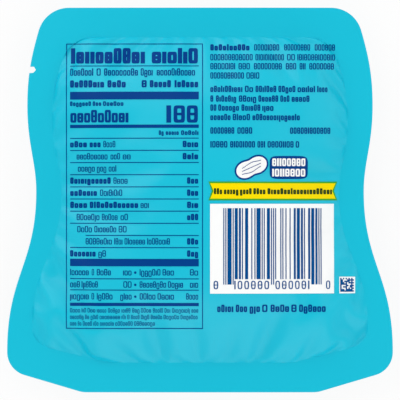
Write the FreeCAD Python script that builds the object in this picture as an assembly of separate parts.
"""Squeeze pouch: one shut bag of printed film, full of a thick paste, lying with its printed back panel up.

Two panels of film are sealed together all round in a flat band. Inside the band they swell over the paste
and gather in short folds along the seal, and the lower panel is flat where it carries the weight. The band
has a tear notch. +X is the pouch's right, +Y points to its top seal and +Z is up. The origin is on the
surface that the pouch lies on, under the middle of its outline. All sizes are in millimetres.
"""

import FreeCAD
import Part
import math
import os

# Outline of the film, from the top edge down the side to the bottom edge.
POUCH_HEIGHT = 123.1
TOP_STRAIGHT = 84.0
TOP_CORNER_RADIUS = 10.0
SHOULDER_LEAN = 16.2  # degrees off upright, where the side leaves the top corner
SHOULDER_WIDTH = 110.5
SHOULDER_DROP = 31.3  # below the top edge
WAIST_WIDTH = 104.8
WAIST_DROP = 58.8  # below the top edge
HIP_WIDTH = 123.5
HIP_RISE = 12.8  # above the bottom edge
BOTTOM_CORNER_RADIUS = 7.6
BOTTOM_STRAIGHT = 75.2
BOTTOM_BLEND_RADIUS = 9.0  # eases the bottom edge into the slanted corner

# How far the side keeps straight on at each of its turning points, as a share of the drop to the next one.
CORNER_EASE = 0.386
SHOULDER_EASE_ABOVE = 0.374
SHOULDER_EASE_BELOW = 0.455
WAIST_EASE_ABOVE = 0.338
WAIST_EASE_BELOW = 0.450
HIP_EASE_ABOVE = 0.480

# Sealed band and tear notch.
BAND_THICKNESS = 0.3
SIDE_SEAL = 8.0
END_SEAL = 9.5
NOTCH_DROP = 19.9  # below the top edge
NOTCH_WIDTH = 2.0
NOTCH_DEPTH = 2.1
NOTCH_TIP = 0.9  # the pointed part of that depth

# Swell of the panels and the way the band hangs.
SEAM_HEIGHT = 10.8  # of the band above the surface, at the middle of the pouch
CORNER_DROOP = 3.0  # how much lower the band hangs at its corners
UPPER_SWELL = 14.4
LOWER_SWELL = 15.6  # as free; the surface that the pouch lies on presses it flat
SWELL_CENTRE = 0.46  # the fullest place, as a share of the way from the bottom seal to the top one
SIDE_FULLNESS = 3.1  # power of the swell's fall towards the side seals
END_FULLNESS = 3.2  # and towards the end seals

# Folds that gather along the seal.
FOLD_DEPTH = 1.1
FOLD_PITCH = 10.5
FOLD_PEAK = 5.0  # from the seal to the deepest place of a fold
FOLD_DRIFT = 37.0  # length over which the spacing and the depth wander
FOLD_WANDER = 1.6  # how far the spacing wanders, in radians of a fold's own wave
FOLD_EVENNESS = 0.65  # share of the depth that every fold has; the rest comes and goes
UPPER_PHASE = 0.4  # where the folds of each panel start
LOWER_PHASE = 1.9

# Fineness of the smooth surfaces.
ROW_SPACING = 2.0
PANEL_COLUMNS = 49
BAND_POLES = 9
BAND_REACH = 1.1  # of the band's surface past the outline, before it is cut to it


def vector(x, y, z=0.0):
    return FreeCAD.Vector(x, y, z)


def arc_through(centre, radius, start, end):
    """Arc of a circle in the plane of the band, between two angles in degrees."""
    angles = [math.radians(angle) for angle in (start, (start + end) / 2, end)]
    points = [vector(centre[0] + radius * math.cos(a), centre[1] + radius * math.sin(a)) for a in angles]
    return Part.Arc(*points)


def side_curve(start, ease_after, end, ease_before, lean=0.0):
    """Smooth piece of the side. It leaves start at lean off straight down and comes to end straight down."""
    drop = start[1] - end[1]
    after, before = ease_after * drop, ease_before * drop
    curve = Part.BezierCurve()
    curve.setPoles(
        [
            vector(*start),
            vector(start[0] + after * math.sin(lean), start[1] - after * math.cos(lean)),
            vector(end[0], end[1] + before),
            vector(*end),
        ]
    )
    return curve


def bottom_corner(hip):
    """Corner arc from the hip, slanted straight that touches it, and blend arc into the bottom edge."""
    bottom = -POUCH_HEIGHT / 2
    corner_centre = (hip[0] - BOTTOM_CORNER_RADIUS, hip[1])
    foot = (BOTTOM_STRAIGHT / 2, bottom)
    across, up = corner_centre[0] - foot[0], corner_centre[1] - foot[1]
    slant = math.atan2(up, across) - math.asin(BOTTOM_CORNER_RADIUS / math.hypot(across, up))
    touch = vector(
        corner_centre[0] + BOTTOM_CORNER_RADIUS * math.sin(slant),
        corner_centre[1] - BOTTOM_CORNER_RADIUS * math.cos(slant),
    )
    blend = BOTTOM_BLEND_RADIUS * math.tan(slant / 2)
    blend_start = vector(foot[0] + blend * math.cos(slant), foot[1] + blend * math.sin(slant))
    blend_centre = (foot[0] - blend, foot[1] + BOTTOM_BLEND_RADIUS)
    below_hip = math.degrees(slant) - 90
    return [
        arc_through(corner_centre, BOTTOM_CORNER_RADIUS, 0, below_hip),
        Part.LineSegment(touch, blend_start),
        arc_through(blend_centre, BOTTOM_BLEND_RADIUS, below_hip, -90),
    ]


def right_side():
    """Curves down the right half of the outline, from the end of the top straight to that of the bottom one."""
    top = POUCH_HEIGHT / 2
    lean = math.radians(SHOULDER_LEAN)
    corner_centre = (TOP_STRAIGHT / 2, top - TOP_CORNER_RADIUS)
    corner_end = (
        corner_centre[0] + TOP_CORNER_RADIUS * math.cos(lean),
        corner_centre[1] + TOP_CORNER_RADIUS * math.sin(lean),
    )
    shoulder = (SHOULDER_WIDTH / 2, top - SHOULDER_DROP)
    waist = (WAIST_WIDTH / 2, top - WAIST_DROP)
    hip = (HIP_WIDTH / 2, HIP_RISE - POUCH_HEIGHT / 2)
    return [
        arc_through(corner_centre, TOP_CORNER_RADIUS, 90, SHOULDER_LEAN),
        side_curve(corner_end, CORNER_EASE, shoulder, SHOULDER_EASE_ABOVE, lean),
        side_curve(shoulder, SHOULDER_EASE_BELOW, waist, WAIST_EASE_ABOVE),
        side_curve(waist, WAIST_EASE_BELOW, hip, HIP_EASE_ABOVE),
    ] + bottom_corner(hip)


def seal_points():
    """Points down the inner edge of the seal, on the right: the side, moved in by the seal's width."""
    wire = Part.Wire([curve.toShape() for curve in right_side()])
    inner_share = 1 - 2 * END_SEAL / POUCH_HEIGHT
    points = wire.discretize(round(wire.Length / ROW_SPACING))
    return [(point.x - SIDE_SEAL, point.y * inner_share) for point in points]


def band_height(x, y):
    """Height of the middle of the band, and of its plane on through the pouch, lower towards the corners."""
    return SEAM_HEIGHT - CORNER_DROOP * (2 * x / HIP_WIDTH) ** 2 * (2 * y / POUCH_HEIGHT) ** 2


def fold(along, inward, phase):
    """Depth of the gathered folds at a place along the seal and a distance in from it."""
    wander = FOLD_WANDER * math.sin(2 * math.pi * along / FOLD_DRIFT + phase)
    wave = math.cos(2 * math.pi * along / FOLD_PITCH + phase + wander)
    narrow = ((1 + wave) / 2) ** 2
    come_and_go = math.sin(3 * math.pi * along / FOLD_DRIFT + 2 * phase)
    strength = FOLD_EVENNESS + (1 - FOLD_EVENNESS) * come_and_go
    rise = inward / FOLD_PEAK * math.exp(1 - inward / FOLD_PEAK)
    return FOLD_DEPTH * narrow * strength * rise


def swell(across, along):
    """Share of the full swell at -1 to 1 across a row and 0 to 1 along, from the bottom seal to the top one."""
    from_centre = along - SWELL_CENTRE
    longest = 1 - SWELL_CENTRE if from_centre > 0 else SWELL_CENTRE
    return (1 - abs(across) ** SIDE_FULLNESS) * (1 - (abs(from_centre) / longest) ** END_FULLNESS)


def smooth_surface(poles):
    """Face of a cubic B-spline surface whose control net is the given rows of points."""

    def knots_and_multiplicities(count):
        return list(range(count - 2)), [4] + [1] * (count - 4) + [4]

    row_knots, row_multiplicities = knots_and_multiplicities(len(poles))
    column_knots, column_multiplicities = knots_and_multiplicities(len(poles[0]))
    surface = Part.BSplineSurface()
    surface.buildFromPolesMultsKnots(
        poles, row_multiplicities, column_multiplicities, row_knots, column_knots, False, False, 3, 3
    )
    return surface.toShape()


def panel(seal, direction, full_swell, phase):
    """Swollen panel inside the seal. direction is 1 for the upper one, which swells up, and -1 for the lower."""
    top, bottom = seal[0][1], seal[-1][1]
    rows = []
    for half_width, y in seal:
        row = []
        for column in range(PANEL_COLUMNS):
            across = 2 * column / (PANEL_COLUMNS - 1) - 1
            x = across * half_width
            side_folds = fold(y, half_width * (1 - abs(across)), phase + math.copysign(1, across))
            end_folds = fold(x, min(top - y, y - bottom), 2 * phase + math.copysign(1, y))
            full = full_swell * swell(across, (y - bottom) / (top - bottom))
            raised = max(0.0, full - side_folds - end_folds)
            row.append(vector(x, y, band_height(x, y) + direction * raised))
        rows.append(row)
    return smooth_surface(rows)


def filled_bag():
    """The paste and the film round it, between the two swollen panels."""
    seal = seal_points()
    upper = panel(seal, 1, UPPER_SWELL, UPPER_PHASE)
    lower = panel(seal, -1, LOWER_SWELL, LOWER_PHASE)
    shell = Part.makeShell([upper, lower])
    shell.sewShape()
    return Part.makeSolid(shell)


def film_outline():
    """Face of the whole film as cut, without the notch."""
    right = [curve.toShape() for curve in right_side()]
    left = [edge.mirror(vector(0, 0), vector(1, 0)) for edge in right]
    top_end, bottom_end = right[0].Vertexes[0].Point, right[-1].Vertexes[-1].Point
    top = Part.makeLine(vector(-top_end.x, top_end.y), top_end)
    bottom = Part.makeLine(vector(-bottom_end.x, bottom_end.y), bottom_end)
    return Part.Face(Part.Wire(Part.__sortEdges__([top, bottom] + right + left)))


def notch(film):
    """Cutter for the tear notch in the left edge, with parallel sides and a pointed end."""
    level = POUCH_HEIGHT / 2 - NOTCH_DROP
    edge = film.common(Part.makeLine(vector(-HIP_WIDTH, level), vector(0, level))).BoundBox.XMin
    half = NOTCH_WIDTH / 2
    outside = edge - NOTCH_DEPTH
    tip = edge + NOTCH_DEPTH
    corners = [
        vector(outside, level + half),
        vector(tip - NOTCH_TIP, level + half),
        vector(tip, level),
        vector(tip - NOTCH_TIP, level - half),
        vector(outside, level - half),
        vector(outside, level + half),
    ]
    return Part.Face(Part.makePolygon(corners)).extrude(vector(0, 0, 2 * SEAM_HEIGHT))


def band():
    """The flat sealed band, as one sheet of the full outline that hangs a little at its corners."""
    shares = [(2 * step / (BAND_POLES - 1) - 1) * BAND_REACH for step in range(BAND_POLES)]
    poles = []
    for y in [share * POUCH_HEIGHT / 2 for share in shares]:
        row = [share * HIP_WIDTH / 2 for share in shares]
        poles.append([vector(x, y, band_height(x, y) - BAND_THICKNESS / 2) for x in row])
    sheet = smooth_surface(poles).extrude(vector(0, 0, BAND_THICKNESS))
    film = film_outline()
    return sheet.common(film.extrude(vector(0, 0, 2 * SEAM_HEIGHT))).cut(notch(film))


def pouch():
    """Band and bag as one solid, pressed flat by the surface that it lies on."""
    corner = vector(-HIP_WIDTH, -POUCH_HEIGHT, -LOWER_SWELL)
    below_surface = Part.makeBox(2 * HIP_WIDTH, 2 * POUCH_HEIGHT, LOWER_SWELL, corner)
    return band().fuse(filled_bag()).cut(below_surface).Solids[0]


os.makedirs("parts", exist_ok=True)
whole = pouch()
whole.exportStep("parts/pouch.step")
print("pouch", whole.optimalBoundingBox())
